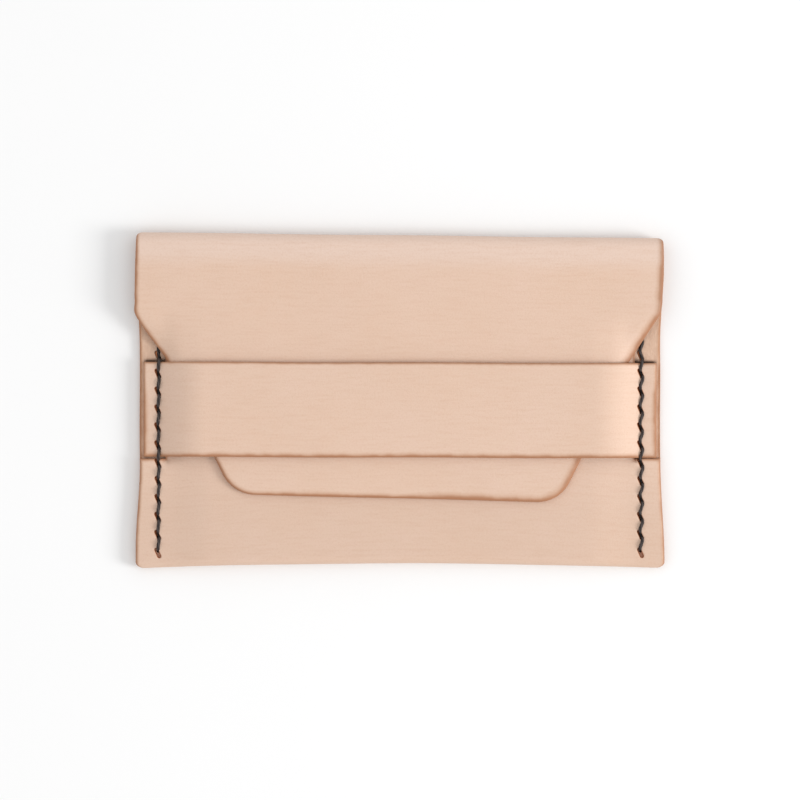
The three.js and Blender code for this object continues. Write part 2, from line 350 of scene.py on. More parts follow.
def flap_inner(x, down):
    neck = front_inner(x) + LEATHER * (1 - neck_pared(x))
    pressed = np.minimum(FLAP_BOTTOM, neck + SLIP_GAP)
    return mix(FLAP_BOTTOM, pressed, ease((down - PRESS_START) / PRESS_RUN))


def flap_thickness(x, down):
    edge = 1 - ease((flap_half(down) - np.abs(x)) / TONGUE_PARED_WIDTH)
    before_tip = 1 - ease((down - TONGUE_PARED_TO) / TONGUE_PARED_RUN)
    under_strap = ease((down - PRESS_START) / PRESS_RUN) * before_tip
    return LEATHER * (1 - TONGUE_PARED * edge * under_strap)


def stack(x, y, z):
    return np.stack(np.broadcast_arrays(x, y, z), axis=-1).astype(float)


def turned(x, y, z):
    cos, sin = math.cos(TURN), math.sin(TURN)
    return stack(x * cos - (y - TOP) * sin, TOP + x * sin + (y - TOP) * cos, z)


def settled(points):
    """Real leather is never quite flat: a slow wave that leaves the back face where it is."""
    x, y, z = points.T
    wave = 0.05 * np.sin(x / 9 + 1.3) * np.sin(y / 11 + 0.4) + 0.03 * np.sin(x / 4.3 + y / 6.1)
    return points + stack(0.03 * np.sin(y / 3.1), 0.04 * np.sin(x / 6.7 + 0.8), wave * ease(z / LEATHER))


def corner_cut(distance, radius):
    """How much a rounded corner takes off the side, at a distance from the end."""
    left = np.clip(radius - distance, 0, radius)
    return radius - np.sqrt(radius ** 2 - left ** 2)


# Placing each leather: each returns its outer and its inner skin

def top_fold_skins(u, angle):
    radii = (FOLD_RADIUS, FOLD_RADIUS - LEATHER)
    return [turned(u, FOLD_AXIS + r * np.sin(angle), FOLD_RADIUS - r * np.cos(angle)) for r in radii]


def pocket_skins(u, v):
    low = bend_y(u)
    bend_start = FOLD_ARC + FOLD_AXIS - low
    bend_end = bend_start + BEND_LENGTH
    share = np.clip((v - FOLD_ARC) / (bend_start - FOLD_ARC), 0, 1)[:, None]
    half = (front_inner(u) + LEATHER) / 2
    turn = math.pi * ((v - bend_start) / BEND_LENGTH - 0.5)
    y = low + v - bend_end
    front_heights = (front_inner(u) + front_thickness(u, y), front_inner(u))
    folds = top_fold_skins(u, math.pi / 2 - v / FOLD_RADIUS)
    skins = []
    for depth, fold, front_z in zip((0, LEATHER), folds, front_heights):
        back = mix(turned(u, FOLD_AXIS, depth), stack(u, low, depth), share)
        bend = stack(u, low - (BOTTOM_DEPTH - depth) * np.cos(turn), half + (half - depth) * np.sin(turn))
        front = stack(u, y, front_z)
        part = np.select([v < FOLD_ARC, v < bend_start, v < bend_end], [0, 1, 2], 3)
        skins.append(np.choose(part[:, None], [fold, back, bend, front]))
    return skins


def left_wider(down):
    wider = mix(LEFT_WIDER, LEFT_WIDER_TONGUE, ease((down - TONGUE_FROM) / TONGUE_RUN))
    return wider * ease((down - PRESS_START) / LEFT_WIDER_RUN)


def flap_skins(u, v):
    down = FOLD_RADIUS + v - FOLD_ARC
    inner = flap_inner(u, down)
    y = TOP - down + (TIP_SHORT + TIP_SLANT * u) * ease((down - TIP_FROM) / TIP_RUN)
    x = u - left_wider(down) * ease((-u - LEFT_FROM) / LEFT_RUN)
    x -= RIGHT_NARROWER * ease((u - RIGHT_FROM) / RIGHT_RUN) * ease((down - FOLD_RADIUS) / TOP_TAPER_RUN)
    flat = [turned(x, y, inner + flap_thickness(u, down)), turned(x, y, inner)]
    fold = top_fold_skins(u, math.pi / 2 + v / FOLD_RADIUS)
    return [np.where((v < FOLD_ARC)[:, None], f, s) for f, s in zip(fold, flat)]


def strap_skins(u, v):
    across = (v - strap_lower(u)) / (strap_upper(u) - strap_lower(u))
    dome = STRAP_DOME * 4 * across * (1 - across) * ease((STRAP_FOOT - np.abs(u)) / STRAP_RUN)
    return [stack(u, v, strap_outer(u) + dome), stack(u, v, strap_inner(u) + dome)]


def back_v(x, y):
    """v on the back panel at a place in the frame."""
    start = FOLD_AXIS + x * math.sin(TURN)
    return FOLD_ARC + (start - y) / (start - bend_y(x)) * (FOLD_AXIS - bend_y(x))


def front_v(x, y):
    return y - 2 * bend_y(x) + FOLD_ARC + FOLD_AXIS + BEND_LENGTH


# Outlines in (u, v), each as stretches of points, and whether a stretch is a real edge or only a
# line where two pieces meet

def sampled(points, step=OUTLINE_STEP):
    points = np.array(points, float)
    lengths = np.r_[0, np.cumsum(np.linalg.norm(np.diff(points, axis=0), axis=1))]
    places = np.linspace(0, lengths[-1], max(2, round(lengths[-1] / step) + 1))
    return np.stack([np.interp(places, lengths, column) for column in points.T], axis=1)


def fold_cut(from_top, v):
    """How much narrower the leather is near the crown."""
    return corner_cut(from_top, TOP_CORNER) + TOP_TAPER * (1 - ease(v / TOP_TAPER_RUN))


def crown_stretch():
    half = FLAP_HALF - TOP_CORNER - TOP_TAPER
    return sampled([(-half, 0), (half, 0)])


def closed(right):
    """The right-hand side's stretches, from the crown on, and their mirror images back to it."""
    left = [(points * (-1, 1))[::-1] for points in reversed(right)]
    stretches = [(crown_stretch(), False)] + [(points, True) for points in right + left]
    points = np.concatenate([p[:-1] for p, _ in stretches])
    real = np.concatenate([np.full(len(p) - 1, edge) for p, edge in stretches])
    return points, real


def pocket_outline():
    last = float(front_v(WAIST, strap_lower(0) - SHOULDER_GAP))
    v = np.arange(0, last, OUTLINE_STEP / 2)
    bend_start = FOLD_ARC + FOLD_AXIS - bend_y(WAIST)
    y = np.where(v < bend_start, FOLD_AXIS - (v - FOLD_ARC), bend_y(WAIST) + v - bend_start - BEND_LENGTH)
    turn = math.pi * np.clip((v - bend_start) / BEND_LENGTH - 0.5, -0.5, 0.5)
    from_bottom = BOTTOM_DEPTH * (1 - np.cos(turn))
    from_top = FOLD_RADIUS * (1 - np.cos(np.clip(v / FOLD_RADIUS, 0, math.pi / 2)))
    half = body_half(y) - corner_cut(from_bottom, BOTTOM_CORNER) - fold_cut(from_top, v)
    side = sampled(np.stack([half, v], axis=1))
    x = np.linspace(side[-1, 0], NECK_HALF, 14)
    shoulder = np.stack([x, front_v(x, strap_lower(x) - SHOULDER_GAP)], axis=1)
    shoulder[0] = side[-1]
    neck = sampled([shoulder[-1], (NECK_HALF, float(front_v(NECK_HALF, NECK_TOP)))])
    x = np.linspace(NECK_HALF, 0, 60)
    top = np.stack([x, front_v(x, NECK_TOP)], axis=1)
    return closed([side, shoulder, neck, top])


def flap_outline_uv():
    v = np.linspace(0, FOLD_ARC, 30)
    from_top = FOLD_RADIUS * (1 - np.cos(v / FOLD_RADIUS))
    fold = np.stack([FLAP_HALF - fold_cut(from_top, v), v], axis=1)
    v = np.linspace(FOLD_ARC, FOLD_ARC + SIDE_END - FOLD_RADIUS, 12)[1:]
    side = np.stack([FLAP_HALF - fold_cut(FOLD_RADIUS, v), v], axis=1)
    corner_and_tip = FLAP_OUTLINE[FLAP_OUTLINE[:, 1] >= CORNER_START]
    rest = [*side, *(corner_and_tip - (0, FOLD_RADIUS) + (0, FOLD_ARC))]
    last = rest[-1]
    return closed([sampled([*fold, *rest]), sampled([last, (0, last[1])])])


def strap_outline():
    ends = [(-STRAP_HALF, strap_lower), (STRAP_HALF, strap_lower), (STRAP_HALF, strap_upper),
            (-STRAP_HALF, strap_upper), (-STRAP_HALF, strap_lower)]
    corners = [(x, edge(x)) for x, edge in ends]
    points = np.concatenate([sampled(pair)[:-1] for pair in zip(corners, corners[1:])])
    return points, np.full(len(points), True)


# Flat meshes

def distance_to(points, starts, ends, chunk=4000):
    nearest = []
    way = ends - starts
    length = np.maximum((way ** 2).sum(1), 1e-12)
    for part in np.array_split(points, max(1, len(points) // chunk)):
        offset = part[:, None] - starts
        share = np.clip((offset * way).sum(2) / length, 0, 1)
        nearest.append(np.sqrt(((offset - share[..., None] * way) ** 2).sum(2)).min(1))
    return np.concatenate(nearest)


def inside(points, outline):
    x, y = points.T
    result = np.zeros(len(points), bool)
    for (x0, y0), (x1, y1) in zip(outline, np.roll(outline, -1, axis=0)):
        if y0 != y1:
            result ^= ((y0 > y) != (y1 > y)) & (x < (x1 - x0) * (y - y0) / (y1 - y0) + x0)
    return result


def rings_inside(outline, real, starts, ends):
    way = np.roll(outline, -1, axis=0) - np.roll(outline, 1, axis=0)
    normal = np.stack([-way[:, 1], way[:, 0]], axis=1) / np.linalg.norm(way, axis=1)[:, None]
    rings = []
    for depth in RIM_RINGS:
        ring = outline[real] + normal[real] * depth
        rings.append(ring[distance_to(ring, starts, ends) > 0.9 * depth])
    points = np.concatenate(rings)
    return points[inside(points, outline)]


def slit_line(slit):
    """A slit's two ends. A slit is (u, v, slant), with slant -1 where v runs down the frame."""
    u, v, slant = slit
    half = np.array((SLIT_HALF[0], SLIT_HALF[1] * slant)) * (1 - SLIT_WIDTH / math.hypot(*SLIT_HALF))
    return np.array((u, v)) - half, np.array((u, v)) + half


def slit_points(slit):
    """Rings of points round one slit, in the leather's plane."""
    start, end = slit_line(slit)
    way = (end - start) / np.linalg.norm(end - start)
    side = np.array([-way[1], way[0]])
    rings = [start + (end - start) * t for t in np.linspace(0, 1, 7)]
    for distance in SLIT_RINGS:
        for t in np.linspace(0, 1, 7):
            rings += [start + (end - start) * t + side * distance * sign for sign in (-1, 1)]
        for angle in np.linspace(0, math.pi, 8)[1:-1]:
            round_end = side * math.cos(angle) * distance
            rings.append(end + round_end + way * math.sin(angle) * distance)
            rings.append(start + round_end - way * math.sin(angle) * distance)
    return np.array(rings)


def slit_distance(x, y, slits):
    lines = [slit_line(slit) for slit in slits]
    starts, ends = (np.array(side) for side in zip(*lines))
    return distance_to(np.stack([x, y], axis=1), starts, ends)


def lattice(u_lines, v_lines):
    return np.array(np.meshgrid(u_lines, v_lines)).reshape(2, -1).T


def lines_between(stops):
    """Grid lines through stretches given as (start, end, spacing)."""
    parts = [np.linspace(a, b, max(2, round((b - a) / step) + 1))[:-1] for a, b, step in stops]
    return np.concatenate([*parts, [stops[-1][1]]])


def flat_mesh(outline, real, grid, slits):
    """Points and triangles of a flat leather, and each point's distance from its real edges."""
    starts, ends = outline[real], np.roll(outline, -1, axis=0)[real]
    grid = grid[inside(grid, outline)]
    grid = grid[distance_to(grid, starts, ends) > CLEAR_OF_RIM]
    grid = grid[distance_to(grid, outline, np.roll(outline, -1, axis=0)) > CLEAR_OF_CUT]
    parts = [outline, rings_inside(outline, real, starts, ends)]
    if slits:
        rings = np.concatenate([slit_points(slit) for slit in slits])
        rings = rings[inside(rings, outline)]
        parts.append(rings[distance_to(rings, starts, ends) > CLEAR_OF_CUT])
        grid = grid[slit_distance(grid[:, 0], grid[:, 1], slits) > CLEAR_OF_SLIT]
    vectors = [Vector(point) for point in np.concatenate([*parts, grid]).tolist()]
    verts, _, faces, *_ = delaunay_2d_cdt(vectors, [], [list(range(len(outline)))], 1, 1e-4)
    flat = np.array([tuple(vert) for vert in verts])
    return flat, np.array([tuple(face) for face in faces]), distance_to(flat, starts, ends)


# Leather pieces

def rim_drop(distance, width, depth):
    """How far a rounded edge has dropped at a distance from it."""
    return depth * (1 - np.sqrt(1 - np.clip(1 - distance / width, 0, 1) ** 2))


def slit_drop(distance):
    wall = SLIT_DEPTH * (1 - ease((distance - SLIT_WIDTH + SLIT_WALL / 2) / SLIT_WALL))
    return wall + SLIT_PULL * np.exp(-(distance / SLIT_PULL_REACH) ** 2)


def moved_in(skin, other, drop):
    """skin, moved towards the other skin, and never through it."""
    way = other - skin
    thickness = np.linalg.norm(way, axis=1)
    share = np.minimum(drop / np.maximum(thickness, 1e-6), 0.85)
    return skin + way * share[:, None]


def painted_edge_shade(u, from_edge):
    """Painted shade on the right-hand cut edge, which the lamp on that side lights: darker near the edge.
    """
    across = ease((u - PAINTED_EDGE_FROM) / PAINTED_EDGE_RUN)
    return PAINTED_EDGE_SHADE * across * (1 - ease((from_edge - PAINTED_EDGE_WIDTH) / PAINTED_EDGE_FADE))


def boundary_of(triangles):
    """Directed edges that only one triangle has."""
    edges = np.concatenate([triangles[:, [0, 1]], triangles[:, [1, 2]], triangles[:, [2, 0]]])
    seen = {tuple(edge) for edge in edges.tolist()}
    return [edge for edge in seen if edge[::-1] not in seen]


def float_attribute(mesh, name, values):
    mesh.attributes.new(name, "FLOAT", "POINT").data.foreach_set("value", np.asarray(values, np.float32))


def vector_attribute(mesh, name, values):
    attribute = mesh.attributes.new(name, "FLOAT_VECTOR", "POINT")
    attribute.data.foreach_set("vector", np.asarray(values, np.float32).ravel())


def mesh_object(name, points, faces, material):
    mesh = bpy.data.meshes.new(name)
    mesh.from_pydata((points * MM).tolist(), [], faces)
    mesh.materials.append(material)
    mesh.shade_smooth()
    piece = bpy.data.objects.new(name, mesh)
    bpy.context.scene.collection.objects.link(piece)
    return piece


def leather_piece(name, flat, triangles, from_edge, band, skins, drops, marks, v_sign, material):
    """A closed leather from its flat mesh. band widens the dark edge, drops are how far each skin is
    moved in, and marks are masks for each skin."""
    outer, inner = (settled(skin) for skin in skins)
    outer, inner = moved_in(outer, inner, drops[0]), moved_in(inner, outer, drops[1])
    a, b, c = (outer[triangles[:, k]] for k in range(3))
    facing = (np.cross(b - a, c - a) * (outer - inner)[triangles[:, 0]]).sum()
    if facing < 0:
        triangles = triangles[:, ::-1]
    count = len(flat)
    crown = np.abs(flat[:, 1]) < 1e-6 if v_sign else np.zeros(count, bool)
    walls = [(j, i, i + count, j + count) for i, j in boundary_of(triangles) if not (crown[i] and crown[j])]
    faces = triangles.tolist() + (triangles[:, ::-1] + count).tolist() + walls
    piece = mesh_object(name, np.concatenate([outer, inner]), faces, material)
    hidden_side = np.repeat([0.0, 1.0], count)
    float_attribute(piece.data, "flesh", hidden_side)
    float_attribute(piece.data, "from_edge", np.tile(from_edge / band, 2))
    for mark, values in marks.items():
        float_attribute(piece.data, mark, np.concatenate(values))
    place = stack(flat[:, 0], flat[:, 1] * (v_sign or 1), 0)
    vector_attribute(piece.data, "flat_mm", np.concatenate([place, place + (0, 0, 40)]))
    return piece


def seam_slits(indices):
    return [(side * SEAM_X + SLIT_SHIFT, HOLE_Y[i], 1) for side in (-1, 1) for i in indices]


def slit_mark(distance):
    return 1 - ease((distance - SLIT_WIDTH) / SLIT_MARK)


ABOVE = range(HOLES_ABOVE_STRAP)
IN_STRAP = range(HOLES_ABOVE_STRAP, HOLES_ABOVE_STRAP + HOLES_IN_STRAP)
IN_FRONT = range(HOLES_ABOVE_STRAP + HOLES_IN_STRAP, HOLES)


def body_pocket(material):
    """Front, bottom fold, back and the lower half of the top fold."""
    outline, real = pocket_outline()
    far = float(front_v(0, NECK_TOP))
    bend_start = FOLD_ARC + FOLD_AXIS - bend_y(0)
    u_lines = lines_between([(-FLAP_HALF, -NEAR_SEAM, SEAM_STEP), (-NEAR_SEAM, NEAR_SEAM, LATTICE),
                             (NEAR_SEAM, FLAP_HALF, SEAM_STEP)])
    step_v = float(back_v(0, strap_upper(0)))
    v_lines = lines_between([(0, FOLD_ARC + 0.5, FOLD_STEP), (FOLD_ARC + 0.5, step_v - STEP_BAND, LATTICE),
                             (step_v - STEP_BAND, step_v + STEP_BAND, STRAP_EDGE_STEP),
                             (step_v + STEP_BAND, bend_start - 1, LATTICE),
                             (bend_start - 1, bend_start + BEND_LENGTH + 2, BEND_STEP),
                             (bend_start + BEND_LENGTH + 2, far, LATTICE)])
    slits = [(x, float(back_v(x, y)), -1) for x, y, _ in seam_slits(range(HOLES))]
    slits += [(x, float(front_v(x, y)), 1) for x, y, _ in seam_slits(IN_FRONT)]
    flat, triangles, from_edge = flat_mesh(outline, real, lattice(u_lines, v_lines), slits)
    u, v = flat.T
    skins = pocket_skins(u, v)
    x, y, _ = skins[0].T
    on_front = v > FOLD_ARC + FOLD_AXIS - bend_y(u) + BEND_LENGTH / 2
    on_back = (v > FOLD_ARC) & ~on_front
    front_slit = np.where(on_front, slit_distance(x, y, seam_slits(IN_FRONT)), FAR_AWAY)
    back_slit = np.where(on_back, slit_distance(x, y, seam_slits(range(HOLES))), FAR_AWAY)
    flesh_slit = np.where(on_back, slit_distance(x, y, seam_slits(ABOVE)), FAR_AWAY)
    last_slit = np.where(on_front, slit_distance(x, y, seam_slits([HOLES - 1])), FAR_AWAY)
    past_first = ease((HOLE_Y[0] + GROOVE_PAST - y) / GROOVE_END_RUN)
    groove_reach = past_first * ease((y - HOLE_Y[-1] + GROOVE_PAST) / GROOVE_END_RUN)
    from_seam = np.abs(np.abs(x) - SEAM_X)
    groove = GROOVE_DEPTH * (1 - ease((from_seam - GROOVE_HALF + GROOVE_WALL / 2) / GROOVE_WALL))
    sewn = np.where(v > FOLD_ARC, ease((strap_upper(u) - y) / SEWN_RUN + 0.5), 0)
    scale = np.where(on_front, front_thickness(u, y), LEATHER) / LEATHER
    at_butt = ease((y - strap_lower(u) + BUTT_ON_FRONT) / BUTT_RUN) * on_front
    outer_depth = mix(mix(POCKET_RIM[1], SEWN_DEPTH, sewn), BUTT_RIM[1], at_butt)
    outer_rim = rim_drop(from_edge, mix(POCKET_RIM[0], BUTT_RIM[0], at_butt), scale * outer_depth)
    inner_width, inner_depth = (mix(a, b, sewn) for a, b in zip(POCKET_INNER_RIM, SEWN_INNER_RIM))
    inner_rim = rim_drop(from_edge, inner_width, scale * inner_depth)
    outer_slit = np.minimum(front_slit, back_slit)
    on_groove = np.where(on_back, groove * groove_reach, 0)
    # painted shadow in the step beside the strap's upper edge, which is also dipped a little
    step_line = np.exp(-((y - strap_upper(u) - STEP_HEIGHT) / STEP_SIGMA) ** 2) * on_back
    step_line = step_line * ease(np.abs(u) - STEP_FROM) * ease((STRAP_HALF - np.abs(u)) / STEP_END_RUN)
    drops = (outer_rim + slit_drop(outer_slit) + on_groove,
             inner_rim + slit_drop(flesh_slit) + STEP_DROP * step_line)
    near_crown = 1 - ease(v / TOP_TAPER_RUN)
    band = 1 + RIGHT_BAND * ease(u / RIGHT_BAND_RUN) * near_crown
    burnish = np.full(len(u), POCKET_BURNISH)
    # painted shade: the front darkens towards the bottom, standing in for the weaker light there
    painted_falloff = np.where(on_front, FRONT_PAINTED_SHADE * ease((strap_lower(0) - y) / FRONT_PAINTED_SHADE_RUN), 0)
    # painted sheen over the top fold
    fold_sheen = np.where(on_front, 0, 1 - ease((v - SHEEN_TO) / SHEEN_RUN))
    # painted highlight inside the last, open slit
    open_slit_highlight = OPEN_SLIT_HIGHLIGHT * ease((SLIT_WIDTH - last_slit) / OPEN_SLIT_HIGHLIGHT_RUN)
    in_shadow = np.maximum(FLESH_SLIT_SHADE * slit_mark(flesh_slit), step_line)
    # the shade mask is all painted shade: the darker lower front, the right-hand edge, the slits above the
    # strap and the step beside it
    marks = {"slit": (slit_mark(outer_slit) * (1 - open_slit_highlight), FLESH_SLIT_RAW * slit_mark(flesh_slit)),
             "shade": (painted_falloff + painted_edge_shade(u, from_edge) * near_crown, in_shadow),
             "burnish": (burnish, burnish),
             "fold_sheen": (fold_sheen, np.zeros(len(u)))}
    return leather_piece("body_pocket", flat, triangles, from_edge, band, skins, drops, marks, 1, material)


def body_flap(material):
    """The upper half of the top fold, the flap and its tongue."""
    outline, real = flap_outline_uv()
    far = float(outline[:, 1].max())
    u_lines = lines_between([(-FLAP_HALF, FLAP_HALF, LATTICE)])
    v_lines = lines_between([(0, FOLD_ARC + 0.5, FOLD_STEP), (FOLD_ARC + 0.5, far, LATTICE)])
    flat, triangles, from_edge = flat_mesh(outline, real, lattice(u_lines, v_lines), [])
    u, v = flat.T
    skins = flap_skins(u, v)
    down = FOLD_RADIUS + v - FOLD_ARC
    scale = np.where(v > FOLD_ARC, flap_thickness(u, down), LEATHER) / LEATHER
    cut_edge = ease((v - FOLD_ARC) / FLAP_RIM_RUN)
    drops = []
    for at_fold, at_edge in ((POCKET_RIM, FLAP_RIM), (POCKET_INNER_RIM, FLAP_INNER_RIM)):
        width, depth = (mix(a, b, cut_edge) for a, b in zip(at_fold, at_edge))
        drops.append(rim_drop(from_edge, width, depth * scale))
    nothing = np.zeros(len(u))
    band = mix(1.0, FLAP_BAND, cut_edge) * (1 + RIGHT_BAND * ease(u / RIGHT_BAND_RUN))
    burnish = mix(POCKET_BURNISH, 1, cut_edge)
    # painted sheen over the top fold
    fold_sheen = 1 - ease((v - SHEEN_TO) / SHEEN_RUN)
    # painted shade on the flap's right-hand edge, fading out before the strap
    painted_edge = painted_edge_shade(u, from_edge) * (1 - ease((down - PRESS_START) / PAINTED_EDGE_END_RUN))
    marks = {"slit": (nothing, nothing), "shade": (painted_edge, nothing), "burnish": (burnish, burnish),
             "fold_sheen": (fold_sheen, nothing)}
    return leather_piece("body_flap", flat, triangles, from_edge, band, skins, drops, marks, -1, material)


def strap(material):
    outline, real = strap_outline()
    u_lines = lines_between([(-STRAP_HALF, -STRAP_MIDDLE, STRAP_END_STEP),
                             (-STRAP_MIDDLE, STRAP_MIDDLE, LATTICE),
                             (STRAP_MIDDLE, STRAP_HALF, STRAP_END_STEP)])
    v_lines = lines_between([(STRAP_LOWER - 1, STRAP_UPPER + 1, STRAP_STEP)])
    slits = seam_slits(IN_STRAP)
    flat, triangles, from_edge = flat_mesh(outline, real, lattice(u_lines, v_lines), slits)
    u, v = flat.T
    skins = strap_skins(u, v)
    distance = slit_distance(u, v, slits)
    in_margin = ease((np.abs(u) - STRAP_FOOT + MARGIN_REACH) / MARGIN_RUN)
    at_butt = in_margin * ease((STRAP_LOWER + BUTT_ON_STRAP - v) / BUTT_RUN)
    width, depth = (mix(a, b, at_butt) for a, b in zip(STRAP_RIM, BUTT_RIM))
    drops = (rim_drop(from_edge, width, depth) + slit_drop(distance), rim_drop(from_edge, *STRAP_INNER_RIM))
    nothing = np.zeros(len(u))
    upper = ease(v / STRAP_UPPER_RUN)
    band = mix(STRAP_BAND, STRAP_BAND_UPPER, upper)
    burnish = mix(1.0, STRAP_BURNISH_UPPER, upper)
    marks = {"slit": (slit_mark(distance), nothing), "shade": (nothing, nothing),
             "burnish": (burnish, burnish), "fold_sheen": (nothing, nothing)}
    return leather_piece("strap_band", flat, triangles, from_edge, band, skins, drops, marks, 0, material)


# Thread

def smooth_path(points, step=0.08):
    """A Catmull-Rom curve through the points, sampled evenly enough."""
    p = np.array(points, float)
    p = np.concatenate([[2 * p[0] - p[1]], p, [2 * p[-1] - p[-2]]])
    path = []
    for a, b, c, d in zip(p, p[1:], p[2:], p[3:]):
        t = np.linspace(0, 1, max(3, int(np.linalg.norm(c - b) / step)))[:-1, None]
        path.append(0.5 * (2 * b + (c - a) * t + (2 * a - 5 * b + 4 * c - d) * t ** 2
                           + (3 * b - a - 3 * c + d) * t ** 3))
    return np.concatenate([*path, p[-2:-1]])


def front_surface(x, y):
    return LEATHER if y > strap_upper(x) else SEAM_TOP


def front_path(side):
    """Sunk in each slit, and raised from its lower end to the next slit's upper end."""
    x = side * SEAM_X
    lean = STITCH_LEAN[side]
    points = []
    for i, y in enumerate(HOLE_Y):
        surface = front_surface(x, y)
        points.append((x - lean, y - SLIT_HALF[1], surface + STITCH_ENTRY))
        points.append((x, y, surface - (STITCH_SUNK_ABOVE if i < HOLES_ABOVE_STRAP else STITCH_SUNK)))
        points.append((x + lean, y + SLIT_HALF[1], surface + STITCH_ENTRY))
        if i + 1 == HOLES_ABOVE_STRAP:
            edge = strap_upper(x)
            points += [(x + 0.15, edge + 0.32, SEAM_TOP - 0.1), (x, edge - 0.35, SEAM_TOP + STITCH_RAISED)]
        elif i + 1 < HOLES:
            points.append((x, y - PITCH / 2, front_surface(x, y - PITCH / 2) + STITCH_RAISED))
    last = HOLE_Y[-1] + LAST_STITCH_END
    return points[:-3] + [(x - lean, last + 0.55, SEAM_TOP + STITCH_ENTRY),
                           (x - lean / 2, last, LAYER_TWO + 0.1)]


def back_path(side):
    x = side * SEAM_X
    lean = STITCH_LEAN[side] / 2
    points = []
    for y in HOLE_Y:
        points.append((x - lean, y - SLIT_HALF[1], BACK_ENTRY))
        points.append((x, y, BACK_SUNK))
        points.append((x + lean, y + SLIT_HALF[1], BACK_ENTRY))
        if y != HOLE_Y[-1]:
            points.append((x, y - PITCH / 2, BACK_RAISED))
    return points


def thread_tube(path, flatness, sides=14, plies=3, lay=1.5):
    """A waxed thread of twisted plies along a path. flatness is its height over its width."""
    way = np.gradient(path, axis=0)
    way /= np.linalg.norm(way, axis=1)[:, None]
    across = np.cross(way, (0, 0, 1))
    across /= np.linalg.norm(across, axis=1)[:, None]
    up = np.cross(across, way)
    along = np.r_[0, np.cumsum(np.linalg.norm(np.diff(path, axis=0), axis=1))]
    angle = np.linspace(0, 2 * math.pi, sides, endpoint=False)
    strand = np.abs(np.cos(plies / 2 * (angle[None] - 2 * math.pi * along[:, None] / (plies * lay))))
    radius = THREAD_RADIUS * (0.87 + 0.13 * strand)
    ring = (across[:, None] * (radius * np.cos(angle))[..., None]
            + up[:, None] * (radius * flatness * np.sin(angle))[..., None])
    points = (path[:, None] + ring).reshape(-1, 3)
    faces = []
    for i in range(len(path) - 1):
        for j in range(sides):
            k = (j + 1) % sides
            faces.append((i * sides + j, i * sides + k, (i + 1) * sides + k, (i + 1) * sides + j))
    last = (len(path) - 1) * sides
    faces.append(tuple(range(sides))[::-1])
    faces.append(tuple(range(last, last + sides)))
    return points, faces, strand.ravel()


def thread(name, side, material):
    front_way, back_way = smooth_path(front_path(side)), smooth_path(back_path(side))
    front, back = thread_tube(front_way, FRONT_FLATNESS), thread_tube(back_way, BACK_FLATNESS)
    shift = len(front[0])
    points = settled(np.concatenate([front[0], back[0]]))
    faces = front[1] + [tuple(i + shift for i in face) for face in back[1]]
    piece = mesh_object(name, points, faces, material)
    surface = np.where(front_way[:, 1] > strap_upper(side * SEAM_X), LEATHER, SEAM_TOP)
    sunk = np.concatenate([ease((surface - front_way[:, 2]) / 0.3), ease((back_way[:, 2] - 0.3) / 0.2)])
    float_attribute(piece.data, "sunk", np.repeat(sunk, len(points) // len(sunk)))
    float_attribute(piece.data, "strand", np.concatenate([front[2], back[2]]))
    return piece


# Materials

class Nodes:
    """A short way to write a material's nodes."""

    def __init__(self, name):
        self.material = bpy.data.materials.new(name)
        self.material.use_nodes = True
        self.tree = self.material.node_tree
        self.shader = self.tree.nodes["Principled BSDF"]

    def add(self, kind, **values):
        node = self.tree.nodes.new(kind)
        for key, value in values.items():
            setattr(node, key, value)
        return node

    def link(self, source, target):
        self.tree.links.new(source, target)

    def feed(self, socket, value):
        if isinstance(value, bpy.types.NodeSocket):
            self.link(value, socket)
        else:
            socket.default_value = value

    def attribute(self, name, output="Fac"):
        return self.add("ShaderNodeAttribute", attribute_name=name).outputs[output]

    def math(self, operation, a, b=0.0):
        node = self.add("ShaderNodeMath", operation=operation)
        self.feed(node.inputs[0], a)
        self.feed(node.inputs[1], b)
        return node.outputs[0]

    def stretched(self, vector, scale):
        node = self.add("ShaderNodeVectorMath", operation="MULTIPLY")
        self.link(vector, node.inputs[0])
        node.inputs[1].default_value = scale
        return node.outputs[0]

    def noise(self, vector, scale, detail=2.0, roughness=0.5):
        node = self.add("ShaderNodeTexNoise")
        self.link(vector, node.inputs["Vector"])
        node.inputs["Scale"].default_value = scale
        node.inputs["Detail"].default_value = detail
        node.inputs["Roughness"].default_value = roughness
        return node.outputs["Fac"]

    def cells(self, vector, scale):
        node = self.add("ShaderNodeTexVoronoi")
        self.link(vector, node.inputs["Vector"])
        node.inputs["Scale"].default_value = scale
        return node.outputs["Distance"]

    def between(self, value, low, high, to_low=0.0, to_high=1.0):
        node = self.add("ShaderNodeMapRange", interpolation_type="SMOOTHSTEP")
        self.link(value, node.inputs["Value"])
        for name, number in zip(("From Min", "From Max", "To Min", "To Max"), (low, high, to_low, to_high)):
            node.inputs[name].default_value = number
        return node.outputs["Result"]

    def blend(self, share, a, b):
        node = self.add("ShaderNodeMix", data_type="RGBA")
        self.feed(node.inputs[0], share)
        self.feed(node.inputs[6], a)
        self.feed(node.inputs[7], b)
        return node.outputs[2]

    def bump(self, height, distance, strength=1.0, below=None):
        node = self.add("ShaderNodeBump")
        node.inputs["Strength"].default_value = strength
        node.inputs["Distance"].default_value = distance
        self.link(height, node.inputs["Height"])
        if below is not None:
            self.link(below, node.inputs["Normal"])
        return node.outputs["Normal"]


GRAIN = (0.70, 0.505, 0.39, 1)
GRAIN_WARM = (0.69, 0.475, 0.35, 1)
GRAIN_PALE = (0.725, 0.53, 0.43, 1)
GRAIN_SHEEN = (0.725, 0.55, 0.455, 1)
FLESH = (0.72, 0.505, 0.375, 1)
FLESH_DARK = (0.62, 0.41, 0.295, 1)
BURNISH = (0.38, 0.17, 0.085, 1)
BURNISH_SOFT = (0.50, 0.27, 0.155, 1)
SLIT_RAW = (0.50, 0.17, 0.06, 1)
